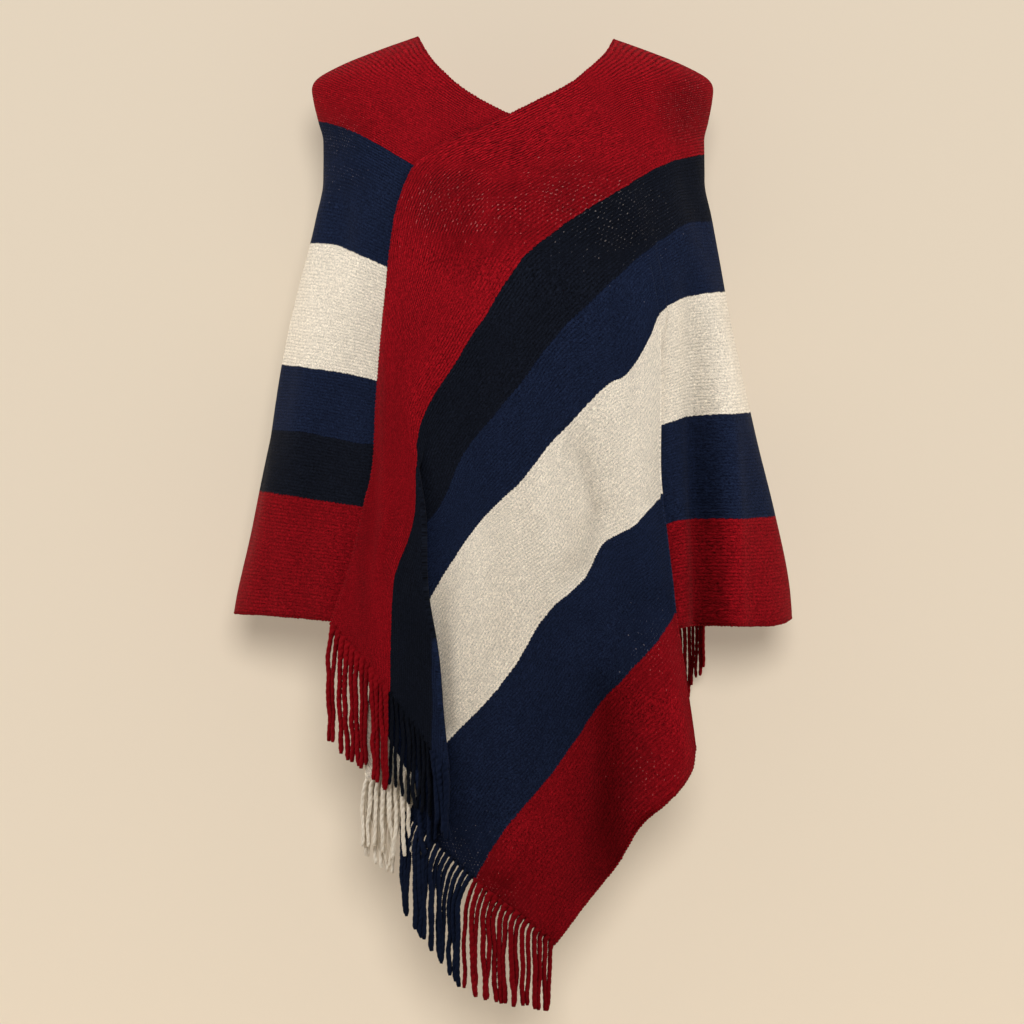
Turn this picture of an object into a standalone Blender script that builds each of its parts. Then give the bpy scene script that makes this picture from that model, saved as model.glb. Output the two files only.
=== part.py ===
"""Knitted poncho sweater: two striped panels worn crosswise, with fringe on each panel's low end.

The garment keeps the hollow form that it has when it is worn. Z points up, -Y is the front, and the
origin lies between the shoulder points. Sizes are in millimetres, and the model is in metres.
"""

import bpy
import numpy as np

MM = 0.001
CLOTH = 3.0  # thickness of the knitted cloth
SEAM_GAP = 0.3  # air between pieces that meet
FOLD_RADIUS = 3.0  # the middle of the cloth turns round this radius in a fold
FOLD_RISE = 4 * FOLD_RADIUS  # a flat fold is three layers, two radii apart
TURN_STEPS = 4  # flats round half a turn
RING_POWER = 2.2  # roundness of the worn ring, where 2 is an ellipse
FRINGE_DROP = 0.6  # air between the cloth's end and the fringe, which clears the cloth's tilt
FRINGE_DEPTH = 3.0  # thickness of the fringe, front to back
COLUMN_STEP = 27.0  # spacing of the grid along a panel
ROW_STEP = 46.0  # spacing of the grid across a panel

# The worn ring at each height.
FIGURE = [  # height, half width, half depth
    (64, 100, 10),
    (48, 144, 45),
    (30, 188, 62),
    (14, 214, 70),
    (6, 217, 73),
    (-8, 215, 78),
    (-29, 210, 86),
    (-50, 205, 93),
    (-93, 205, 106),
    (-135, 213, 116),
    (-210, 229, 130),
    (-340, 257, 142),
    (-455, 280, 150),
    (-565, 300, 155),
    (-950, 310, 150),
]

# Widths of the stripes, from the neck edge to the hem. One panel is the other one turned over.
WRAP_STRIPES = [("red", 160), ("black", 75), ("navy", 75), ("cream", 130), ("navy", 115), ("red", 110)]
UNDER_STRIPES = [("red", 145), ("navy", 120), ("cream", 130), ("navy", 75), ("black", 70), ("red", 125)]

# How far the fringe of each stripe reaches below the cloth, at the stripe's neck side and hem side.
WRAP_FRINGE = [(124, 112), (104, 80), (75, 85), (80, 72), (103, 116), (118, 80)]
UNDER_FRINGE = [(118, 118), (118, 118), (118, 118), (118, 118), (118, 118), (118, 118)]

# Each row is a section across a panel: its name, the face of the ring that it lies on, how far it is
# lifted off the ring at the neck side and at the hem side, and then (x, height) of the neck edge, of
# each line between two stripes, and of the hem. A gap (None) is filled by the stripes' widths.
WRAP = [
    ("end", "front", 9, 12,
     (-350, -570), (-295, -613), (-239, -654), (-190, -705), (-115, -773), (-42, -843), (44, -912)),
    ("low", "front", 9, 12,
     (-280, -500), (-228, -547), (-180, -589), (-131, -616), (-77, -702), (5, -772), (77, -871)),
    ("mid", "front", 9, 12,
     (-260, -440), (-217, -483), (-151, -517), (-94, -546), (-22, -642), (50, -717), (112, -832)),
    ("high", "front", 9, 12,
     (-200, -390), (-139, -428), (-82, -450), (-46, -472), (34, -557), (95, -653), (141, -781)),
    ("pleat_top", "front", 9, 12,
     (-139, -331), (-100, -355), (-52, -385), (-5, -427), (75, -520), (148, -595), (189, -723)),
    ("waist", "front", 9, 12,
     (-133, -226), (-59, -277), (-9, -333), (43, -372), (98, -480), (157, -581), (191, -709)),
    ("chest", "front", 8, 12,
     (-129, -161), (-26, -226), (30, -280), (93, -318), (124, -465), (165, -570), (192, -705)),
    ("cross", "front", 5, 12,
     (-105, -81), (18, -167), (66, -240), (123, -299), (141, -448), (169, -565), (192, -703)),
    ("vee", "front", 5.6, 12,
     (-4, -27), (66, -127), (106, -202), (143, -264), (151, -437), (170, -562), (192, -702)),
    ("fold_edge", "front", 2, 12,
     (67, 11), (128, -90), (139, -173), (153, -238), (156, -427), (170, -559), (192, -701)),
    ("fold_turn", "front", 1.5, 0,
     (75, 18), (142, -82), (152, -161), (160, -229), (136, -376), (123, -504), (105, -619)),
    ("sleeve", "front", 1, 0,
     (89, 30), (171, -68), (189, -138), (190, -216), (181, -349), (187, -459), (200, -573)),
    ("arm_front", "front", 0, 0,
     (102, 44), (193, -61), (205, -136), (218, -211), (237, -343), (255, -458), (271, -574)),
    ("outside", "side", 0, 0,
     (110, 59), (205, -57), (212, -134), (228, -209), (258, -340), (281, -455), (302, -566)),
    ("arm_back", "back", 0, 0, (102, 45), (195, -56), None, None, None, None, (276, -562)),
    ("back_side", "back", 0, 0, (84, 27), (155, -67), None, None, None, None, (195, -567)),
    ("back", "back", 0, 0, (42, -4), (96, -88), None, None, None, None, (107, -572)),
    ("back_end", "back", 0, 0, (-25, -34), (13, -131), None, None, None, None, (30, -578)),
]
UNDER = [
    ("front_end", "front", 0, 0,
     (46, -49), (16, -164), (-1, -253), (-12, -344), (-17, -392), (-19, -461), (-25, -589)),
    ("middle", "front", 0, 0,
     (-9, -24), (-62, -110), (-78, -215), (-83, -329), (-86, -385), (-89, -454), (-94, -580)),
    ("front", "front", 0, 0,
     (-58, 5), (-133, -63), (-147, -180), (-163, -304), (-172, -376), (-180, -442), (-192, -568)),
    ("arm_front", "front", 0, 0,
     (-87, 33), (-181, -37), (-192, -162), (-212, -295), (-227, -364), (-240, -433), (-263, -563)),
    ("outside", "side", 0, 0,
     (-104, 62), (-213, -27), (-218, -157), (-246, -289), (-257, -362), (-273, -428), (-299, -561)),
    ("arm_back", "back", 0, 0, (-88, 37), (-183, -30), None, None, None, None, (-269, -560)),
    ("back_side", "back", 1, 0, (-59, 8), (-136, -56), None, None, None, None, (-198, -565)),
    ("fold_turn", "back", 2.5, 0, (-47, 1), (-113, -72), (-155, -220), None, None, None, (-108, -578)),
    ("fold_edge", "back", 3, 12, (-36, -6), (-104, -79), (-149, -233), None, None, None, (-156, -605)),
    ("back_centre", "back", 9, 12, (96, -66), (52, -164), None, None, None, None, (-103, -660)),
    ("back_low", "back", 9, 12, (170, -270), (118, -340), None, None, None, None, (-42, -721)),
    ("back_end", "back", 9, 12, (209, -513), None, None, None, None, None, (8, -760)),
]

# Below "pleat_top" the neck side of the wrap panel is a layer of its own, folded over the rest. Its
# first three lines lie here instead.
WRAP_PLEAT = {
    "end": [(-194, -572), (-133, -642), (-88, -704)],
    "low": [(-175, -515), (-132, -589), (-87, -653)],
    "mid": [(-161, -456), (-129, -527), (-88, -589)],
    "high": [(-148, -397), (-105, -448), (-78, -499)],
}

# The pleat takes in the cloth between two distances from the neck edge. "flat" is 1 where it is
# folded flat, and "raised" is how much of the fold's rise its upper layer has.
PLEAT_FOLD = {  # section: (upper layer ends, lower layer starts, flat, raised)
    "end": (260, 375, 1, 1),
    "low": (248, 290, 1, 1),
    "mid": (239, 257, 1, 1),
    "high": (184, 192, 1, 1),
    "pleat_top": (145, 190, 0, 0.8),
    "waist": (130, 205, 0, 0.35),
    "chest": (130, 220, 0, 0),
    "back_end": (130, 220, 0, 0),
}
SIDE_FOLD_TOP = 300  # the fold beside each arm is closed flat this far from the neck edge
SIDE_FOLD_FADE = 55  # and opens over this much cloth above that


def curve(knots, values, at):
    """Smooth curve through one row of values for each knot, which never swings past a value."""
    knots = np.asarray(knots, float)
    values = np.asarray(values, float).reshape(len(knots), -1)
    step = np.diff(knots)[:, None]
    rise = np.diff(values, axis=0) / step
    slope = np.empty_like(values)
    slope[0], slope[-1] = rise[0], rise[-1]
    before, after = rise[:-1], rise[1:]
    mean = (before * step[1:] + after * step[:-1]) / (step[1:] + step[:-1])
    limit = 3 * np.minimum(abs(before), abs(after))
    slope[1:-1] = np.where(before * after > 0, np.clip(mean, -limit, limit), 0)
    at = np.atleast_1d(np.asarray(at, float))
    inside = np.clip(at, knots[0], knots[-1])
    left = np.clip(np.searchsorted(knots, inside, side="right") - 1, 0, len(knots) - 2)
    width = step[left]
    t = (inside - knots[left])[:, None] / width
    start, end = values[left], values[left + 1]
    found = start + (end - start) * t * t * (3 - 2 * t)
    found += t * (1 - t) * width * ((1 - t) * slope[left] - t * slope[left + 1])
    beyond = (at - inside)[:, None]
    return found + beyond * np.where(beyond < 0, slope[0], slope[-1])


def ring_size(height, lift):
    """Half the width and half the depth of the worn ring, moved out by the lift."""
    table = np.array(FIGURE[::-1], float)
    size = curve(table[:, 0], table[:, 1:], np.ravel(height))
    lift = np.ravel(lift)
    return size[:, 0] + lift, size[:, 1] + lift


def ring_point(place):
    """Points on the worn ring from rows of angle (0 at the front's middle), height and lift."""
    place = np.atleast_2d(place)
    half_width, half_depth = ring_size(place[:, 1], place[:, 2])
    across, forward = np.sin(place[:, 0]), np.cos(place[:, 0])
    x = half_width * np.sign(across) * abs(across) ** (2 / RING_POWER)
    y = -half_depth * np.sign(forward) * abs(forward) ** (2 / RING_POWER)
    return np.stack([x, y, place[:, 1]], axis=1)


def ring_angle(x, height, face, lift, side):
    """Angle round the ring of a point given by its x and height on the front, side or back."""
    if face == "side":
        return side * np.pi / 2
    half_width = ring_size(height, lift)[0][0]
    tilt = np.sign(x) * np.arcsin(min(1.0, abs(x) / half_width) ** (RING_POWER / 2))
    return tilt if face == "front" else side * np.pi - tilt


def stripe_lines(stripes):
    """Distance from the neck edge of the neck edge itself, of each stripe line and of the hem."""
    return np.concatenate([[0.0], np.cumsum([width for _, width in stripes])])


def section_places(section, lines, side):
    """Angle, height and lift of a section's points, with its gaps filled by the stripes' widths."""
    _, face, neck_lift, hem_lift, *points = section
    share = np.clip((lines - lines[1]) / (lines[4] - lines[1]), 0, 1)
    lift = neck_lift + (hem_lift - neck_lift) * share
    given = [i for i, point in enumerate(points) if point is not None]
    flat = [(ring_angle(*points[i], face, lift[i], side), points[i][1]) for i in given]
    angle, height = (np.interp(lines, lines[given], column) for column in zip(*flat))
    return np.stack([angle, height, lift], axis=1)


def fold_profile():
    """A flat fold from its upper layer to its lower one, as rows of: share of the way across, how
    far it stands out past the ends, and how high it is, both in fold radii."""
    turn = np.radians(np.linspace(90, -90, TURN_STEPS + 1))
    upper = [(0.0, np.cos(a), 3 + np.sin(a)) for a in turn]
    lower = [(1.0, -np.cos(a), 1 + np.sin(a)) for a in turn]
    return np.array(upper + [(0.5, 0.0, 2.0)] + lower)


def fold(upper, lower, flat, side):
    """Cloth from a place on an upper layer to one on a lower layer: a ramp, or folded flat."""
    profile = fold_profile()
    ramp = np.linspace(0, 1, len(profile))[:, None]
    ease = ramp * ramp * (3 - 2 * ramp)
    open_place = upper + (lower - upper) * np.hstack([ramp, ramp, ease])
    opened = ring_point(open_place)
    if flat <= 0:
        return opened
    closed_place = upper + (lower - upper) * profile[:, :1]
    closed_place[:, 2] = lower[2] + FOLD_RADIUS * profile[:, 2]
    ahead = closed_place + np.array([side * 0.01, 0, 0])
    outward = ring_point(ahead) - ring_point(closed_place)
    outward /= np.linalg.norm(outward, axis=1)[:, None]
    closed = ring_point(closed_place) + outward * FOLD_RADIUS * profile[:, 1:2]
    return opened + (closed - opened) * flat


class Panel:
    """A knitted panel as a grid of points in the middle of its cloth."""

    def __init__(self, sections, stripes, side, pleat=None):
        self.lines = stripe_lines(stripes)
        self.side = side
        self.names = [section[0] for section in sections]
        self.table = np.array([section_places(s, self.lines, side) for s in sections])
        points = np.array([ring_point(row) for row in self.table])
        steps = np.linalg.norm(np.diff(points, axis=0), axis=2).mean(axis=1)
        self.along = np.concatenate([[0.0], np.cumsum(steps)])
        self.neck = [section[4][0] for section in sections]
        self.neck_from = self.at("vee") if pleat else 0.0
        self.pleat = None
        if pleat:
            self.pleat = self.table[:, :3].copy()
            for name, line_points in pleat.items():
                row = self.names.index(name)
                lift = self.table[row, :3, 2]
                for i, (x, height) in enumerate(line_points):
                    angle = ring_angle(x, height, "front", lift[i] + FOLD_RISE, side)
                    self.pleat[row, i] = angle, height, lift[i]

    def at(self, name):
        return self.along[self.names.index(name)]

    def places(self, s, distances, table=None):
        """Places at the distances from the neck edge, on the section at s along the panel."""
        table = self.table if table is None else table
        flat = table.reshape(len(table), -1)
        row = curve(self.along, flat, s).reshape(-1, 3)
        if s >= self.neck_from:  # the neck edge is a smooth line as seen from the front
            x = curve(self.along, self.neck, s)[0, 0]
            face = "front" if s < self.at("outside") else "back"
            row[0, 0] = ring_angle(x, row[0, 1], face, row[0, 2], self.side)
        return curve(self.lines[: len(row)], row, distances)

    def column(self, s):
        """Places along one section, with the section's points and distances from the neck edge."""
        hem = self.lines[-1]
        if self.pleat is None:
            distances = np.linspace(0, hem, int(hem / ROW_STEP) + 1)
            places = self.places(s, distances)
            return places, ring_point(places), distances
        knots = [self.at(name) for name in PLEAT_FOLD]
        ends, starts, flat, raised = curve(knots, list(PLEAT_FOLD.values()), s)[0]
        upper_rows = np.linspace(0, ends, int(PLEAT_FOLD["end"][0] / ROW_STEP) + 1)
        lower_rows = np.linspace(starts, hem, int((hem - PLEAT_FOLD["end"][1]) / ROW_STEP) + 6)
        upper = self.places(s, upper_rows, self.pleat)
        upper[:, 2] += FOLD_RISE * raised
        lower = self.places(s, lower_rows)
        between = fold(upper[-1], lower[0], flat, self.side)
        fold_rows = np.linspace(ends, starts, len(between))
        share = np.linspace(0, 1, len(between))[:, None]
        fold_places = upper[-1] + (lower[0] - upper[-1]) * share
        places = np.vstack([upper[:-1], fold_places, lower[1:]])
        points = np.vstack([ring_point(upper[:-1]), between, ring_point(lower[1:])])
        return places, points, np.concatenate([upper_rows[:-1], fold_rows, lower_rows[1:]])

    def side_fold(self):
        """Columns of the fold beside the arm, from its edge to its turn."""
        edge_places, edge_points, distances = self.column(self.at("fold_edge"))
        turn_places, turn_points, _ = self.column(self.at("fold_turn"))
        flat = np.clip((distances - SIDE_FOLD_TOP) / SIDE_FOLD_FADE + 1, 0, 1)
        count = len(fold_profile())
        columns = np.empty((count, len(distances), 3))
        for i, share in enumerate(flat):
            if share > 0:
                columns[:, i] = fold(edge_places[i], turn_places[i], share, self.side)
            else:
                steps = np.linspace(0, 1, count)[:, None]
                columns[:, i] = edge_points[i] + (turn_points[i] - edge_points[i]) * steps
        return columns

    def grid(self):
        """Grid of points, one row of it for each column of the cloth, from neck edge to hem."""
        edge, turn = self.at("fold_edge"), self.at("fold_turn")
        first, last = sorted([edge, turn])
        before = np.linspace(0, first, int(first / COLUMN_STEP) + 1)
        after = np.linspace(last, self.along[-1], int((self.along[-1] - last) / COLUMN_STEP) + 1)
        middle = self.side_fold()
        if turn < edge:
            middle = middle[::-1]
        columns = [self.column(s)[1] for s in before[:-1]]
        columns += list(middle)
        columns += [self.column(s)[1] for s in after[1:]]
        return np.array(columns)


def closed_wall(name, grid, depth, material, normals=None):
    """A closed wall of even depth about a grid of middle points."""
    if normals is None:
        normals = np.cross(np.gradient(grid, axis=0), np.gradient(grid, axis=1))
        normals /= np.linalg.norm(normals, axis=2)[:, :, None]
    columns, rows = grid.shape[:2]
    layers = [grid + normals * depth / 2, grid - normals * depth / 2]
    points = np.concatenate([layer.reshape(-1, 3) for layer in layers]) * MM
    back = columns * rows

    def corner(i, j, layer):
        return layer * back + i * rows + j

    faces = []
    for i in range(columns - 1):
        for j in range(rows - 1):
            ring = [corner(i, j, 0), corner(i + 1, j, 0), corner(i + 1, j + 1, 0), corner(i, j + 1, 0)]
            faces.append(ring)
            faces.append([v + back for v in reversed(ring)])
    rim = [(i, 0) for i in range(columns)]
    rim += [(columns - 1, j) for j in range(1, rows)]
    rim += [(i, rows - 1) for i in range(columns - 2, -1, -1)]
    rim += [(0, j) for j in range(rows - 2, 0, -1)]
    for here, there in zip(rim, rim[1:] + rim[:1]):
        faces.append([corner(*there, 0), corner(*here, 0), corner(*here, 1), corner(*there, 1)])

    mesh = bpy.data.meshes.new(name)
    mesh.from_pydata(points.tolist(), [], faces)
    mesh.materials.append(material)
    mesh.shade_smooth()
    mesh.set_sharp_from_angle(angle=np.radians(50))
    node = bpy.data.objects.new(name, mesh)
    bpy.context.scene.collection.objects.link(node)
    return node


def knit(name, colour):
    """Matt wool in one colour."""
    material = bpy.data.materials.new(name)
    material.use_nodes = True
    shader = material.node_tree.nodes["Principled BSDF"]
    shader.inputs["Base Color"].default_value = (*colour, 1)
    shader.inputs["Roughness"].default_value = 0.95
    shader.inputs["Metallic"].default_value = 0
    return material


def fringe(prefix, panel, end_column, materials, stripes, reaches):
    """One closed curtain for each stripe, hung from the panel's end section."""
    _, points, distances = panel.column(end_column)
    run = np.concatenate([[0.0], np.cumsum(np.linalg.norm(np.diff(points, axis=0), axis=1))])
    edges = np.interp(panel.lines, distances, run)
    counts = {}
    for (colour, _), reach, start, stop in zip(stripes, reaches, edges, edges[1:]):
        counts[colour] = counts.get(colour, 0) + 1
        start, stop = start + SEAM_GAP, stop - SEAM_GAP
        marks = np.concatenate([[start], run[(run > start + 1) & (run < stop - 1)], [stop]])
        top = np.stack([np.interp(marks, run, points[:, i]) for i in range(3)], axis=1)
        heading = np.gradient(top[:, :2], axis=0)
        heading /= np.linalg.norm(heading, axis=1)[:, None]
        normal = np.stack([heading[:, 1], -heading[:, 0], np.zeros(len(heading))], axis=1)
        step = np.diff(top, axis=0)
        slope = abs(step[:, 2]) / np.hypot(step[:, 0], step[:, 1])
        steepest = np.maximum(np.append(slope, 0), np.append(0, slope))
        top[:, 2] -= FRINGE_DROP * np.hypot(1, steepest)
        bottom = top.copy()
        bottom[:, 2] -= np.interp(marks, [start, stop], reach)
        grid = np.stack([bottom, top], axis=1)
        name = f"{prefix}_{colour}_{counts[colour]}"
        closed_wall(name, grid, FRINGE_DEPTH, materials[colour], np.stack([normal, normal], axis=1))


def build():
    """Clear the scene and make the two panels and their fringe."""
    for old in list(bpy.data.objects):
        bpy.data.objects.remove(old)
    materials = {
        "red": knit("red_knit", (0.30, 0.004, 0.009)),
        "black": knit("black_knit", (0.004, 0.005, 0.008)),
        "navy": knit("navy_knit", (0.008, 0.018, 0.055)),
        "cream": knit("cream_knit", (0.70, 0.64, 0.54)),
    }
    wrap = Panel(WRAP, WRAP_STRIPES, 1, WRAP_PLEAT)
    under = Panel(UNDER, UNDER_STRIPES, -1)
    closed_wall("wrap_panel", wrap.grid(), CLOTH, materials["red"])
    closed_wall("under_panel", under.grid(), CLOTH, materials["navy"])
    fringe("front_fringe", wrap, 0.0, materials, WRAP_STRIPES, WRAP_FRINGE)
    fringe("back_fringe", under, under.along[-1], materials, UNDER_STRIPES, UNDER_FRINGE)


build()
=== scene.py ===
# Knitted poncho sweater: two striped panels worn crosswise, with a fringe on each low end.
# Tables are in millimetres. Z points up, the front faces -Y, and the shoulders are at the origin.
import math

import bpy
import numpy as np
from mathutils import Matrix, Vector


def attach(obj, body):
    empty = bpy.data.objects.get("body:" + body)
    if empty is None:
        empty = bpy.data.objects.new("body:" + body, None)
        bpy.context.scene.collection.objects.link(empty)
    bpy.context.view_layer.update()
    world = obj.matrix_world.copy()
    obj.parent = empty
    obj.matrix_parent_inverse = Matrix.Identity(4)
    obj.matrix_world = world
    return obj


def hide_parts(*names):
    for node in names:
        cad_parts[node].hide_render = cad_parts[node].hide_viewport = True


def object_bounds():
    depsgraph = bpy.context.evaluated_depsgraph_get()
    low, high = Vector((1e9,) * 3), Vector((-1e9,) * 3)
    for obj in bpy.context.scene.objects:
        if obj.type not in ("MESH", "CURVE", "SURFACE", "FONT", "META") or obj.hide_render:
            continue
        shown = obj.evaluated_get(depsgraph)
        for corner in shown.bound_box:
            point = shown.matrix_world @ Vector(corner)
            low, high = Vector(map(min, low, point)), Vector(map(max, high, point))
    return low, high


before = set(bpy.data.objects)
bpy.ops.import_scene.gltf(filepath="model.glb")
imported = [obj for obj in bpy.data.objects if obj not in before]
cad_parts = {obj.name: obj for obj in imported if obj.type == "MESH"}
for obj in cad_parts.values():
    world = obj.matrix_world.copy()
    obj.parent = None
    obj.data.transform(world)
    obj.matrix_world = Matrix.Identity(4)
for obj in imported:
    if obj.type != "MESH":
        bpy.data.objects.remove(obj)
cadLow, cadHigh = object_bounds()
mm = 0.001


def addObject(name, data):
    made = bpy.data.objects.new(name, data)
    bpy.context.scene.collection.objects.link(made)
    return made


# camera
view = {"at": (-0.0011, -8.08, -0.4526), "lens": 261.6, "sensor": 36.0}
cameraData = bpy.data.cameras.new("frontCamera")
cameraData.lens = view["lens"]
cameraData.sensor_width = view["sensor"]
cameraObject = addObject("frontCamera", cameraData)
cameraObject.location = view["at"]
cameraObject.rotation_euler = (math.pi / 2, 0, 0)
bpy.context.scene.camera = cameraObject
print("camera placed")

# the cut of the two panels
cloth = {
    "thickness": 3.0,
    "foldRadius": 3.0,  # of the middle of the cloth where it turns back
    "turnSteps": 8,
    "flatSteps": 12,
    "columnStep": 4.8,  # fineness along a panel
    "rowStep": 4.0,  # fineness across a panel
    "rimRound": 1.1,  # how far the middle of an edge stands out
    "ringPower": 2.2,
    "tightFold": 1.55,  # the least radius that a fold closes to
    "pleatRows": (200, 400),  # across the pleat's upper layer, and across its lower one
    "armFade": 8,  # along the panel, where one part's creases give way to the next part's
    "creaseEdge": 30,  # how softly a crease stops at its first and last row
}
foldRise = 4 * cloth["foldRadius"]

# The worn ring at each height: height, half width, half depth.
figure = [
    (64, 100, 10), (48, 144, 45), (30, 188, 62), (14, 214, 70), (6, 217, 73), (-8, 215, 78),
    (-29, 210, 86), (-50, 205, 93), (-93, 205, 106), (-135, 213, 116), (-210, 229, 130),
    (-340, 257, 142), (-455, 280, 150), (-565, 300, 155), (-950, 310, 150),
]

between = (None,) * 4  # lines that are worked out from those beside them
# A section: name, lift at neck and hem, then (x, height) of the neck edge, each line and the hem.
# It lies on the front before "outside", and on the back after it.
wrapSections = [
    ("end", 9, 12,
     (-350, -570), (-295, -613), (-239, -654), (-190, -705), (-115, -773), (-42, -843), (44, -912)),
    ("low", 9, 12,
     (-280, -500), (-228, -547), (-180, -589), (-131, -616), (-77, -702), (5, -772), (77, -871)),
    ("mid", 9, 12,
     (-260, -440), (-217, -483), (-151, -517), (-94, -546), (-22, -642), (50, -717), (112, -832)),
    ("high", 9, 12,
     (-200, -390), (-139, -428), (-82, -450), (-46, -472), (34, -557), (95, -653), (141, -781)),
    ("pleatTop", 9, 12,
     (-139, -331), (-100, -355), (-52, -385), (-5, -427), (75, -520), (148, -595), (189, -723)),
    ("waist", 9, 12,
     (-133, -226), (-59, -277), (-9, -333), (43, -372), (98, -480), (157, -581), (191, -709)),
    ("chest", 8, 12,
     (-129, -161), (-26, -226), (30, -280), (93, -318), (124, -465), (165, -570), (192, -705)),
    ("cross", 5, 12,
     (-105, -81), (18, -167), (66, -240), (123, -299), (141, -448), (169, -565), (192, -703)),
    ("vee", 5.6, 12,
     (-4, -27), (66, -127), (106, -202), (143, -264), (151, -437), (170, -562), (192, -702)),
    ("foldEdge", 2, 12,
     (67, 11), (128, -90), (139, -173), (153, -238), (156, -427), (171, -559), (187.5, -695)),
    ("foldTurn", 1.5, 0,
     (75, 18), (142, -82), (152, -161), (160, -229), (136, -376), (123, -504), (105, -619)),
    ("sleeve", 1, 0,
     (89, 30), (171, -68), (189, -138), (190, -216), (181, -349), (187, -459), (200, -573)),
    ("armFront", 0, 0,
     (102, 44), (193, -61), (205, -136), (218, -211), (237, -343), (255, -458), (271, -574)),
    ("outside", 0, 0,
     (110, 59), (205, -57), (212, -134), (228, -209), (258, -340), (281, -455), (302, -566)),
    ("armBack", 0, 0, (102, 45), (195, -56), *between, (276, -562)),
    ("backSide", 0, 0, (84, 27), (155, -67), *between, (195, -567)),
    ("back", 0, 0, (42, -4), (96, -88), *between, (107, -572)),
    ("backEnd", 0, 0, (-25, -34), (13, -131), *between, (30, -578)),
]
underSections = [
    ("frontEnd", 0, 0,
     (46, -49), (16, -164), (-1, -253), (-12, -344), (-17, -392), (-19, -461), (-25, -589)),
    ("middle", 0, 0,
     (-9, -24), (-62, -110), (-78, -215), (-83, -329), (-86, -385), (-89, -454), (-94, -580)),
    ("front", 0, 0,
     (-58, 5), (-133, -63), (-147, -180), (-163, -304), (-172, -376), (-180, -442), (-192, -568)),
    ("armFront", 0, 0,
     (-87, 33), (-181, -37), (-192, -162), (-212, -295), (-227, -364), (-240, -433), (-263, -563)),
    ("outside", 0, 0,
     (-104, 62), (-213, -27), (-218, -157), (-246, -289), (-257, -362), (-273, -428), (-299, -561)),
    ("armBack", 0, 0, (-88, 37), (-183, -30), *between, (-269, -560)),
    ("backSide", 1, 0, (-59, 8), (-136, -56), *between, (-198, -565)),
    ("foldTurn", 2.5, 0, (-47, 1), (-113, -72), (-155, -220), None, None, None, (-108, -578)),
    ("foldEdge", 3, 12, (-36, -6), (-104, -79), (-149, -233), None, None, None, (-156, -605)),
    ("backCentre", 9, 12, (96, -66), (52, -164), *between, (-103, -660)),
    ("backLow", 9, 12, (170, -270), (118, -340), *between, (-42, -721)),
    ("backEnd", 9, 12, (209, -513), None, *between, (8, -760)),
]
# Below pleatTop the wrap's neck side is folded over the rest, and its first three lines lie here.
wrapPleat = {
    "end": [(-194, -572), (-133, -642), (-88, -704)],
    "low": [(-175, -515), (-132, -589), (-87, -653)],
    "mid": [(-161, -456), (-129, -527), (-88, -589)],
    "high": [(-148, -397), (-105, -448), (-78, -499)],
}
# Section: upper layer ends, lower layer starts, how flat the fold is, how raised its upper layer is.
pleatFold = {
    "end": (260, 375, 1, 1),
    "low": (248, 290, 1, 1),
    "mid": (239, 257, 1, 1),
    "high": (184, 192, 1, 1),
    "pleatTop": (145, 190, 0, 0.8),
    "waist": (130, 205, 0, 0.35),
    "chest": (130, 220, 0, 0),
    "backEnd": (130, 220, 0, 0),
}
sideFold = {"top": 300, "fade": 55}  # closed flat from here down, and open above it

wrapStripes = [("red", 160), ("black", 75), ("navy", 75), ("cream", 130), ("navy", 115), ("wine", 110)]
underStripes = [("red", 145), ("navy", 120), ("cream", 130), ("navy", 75), ("black", 70), ("wine", 125)]

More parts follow.
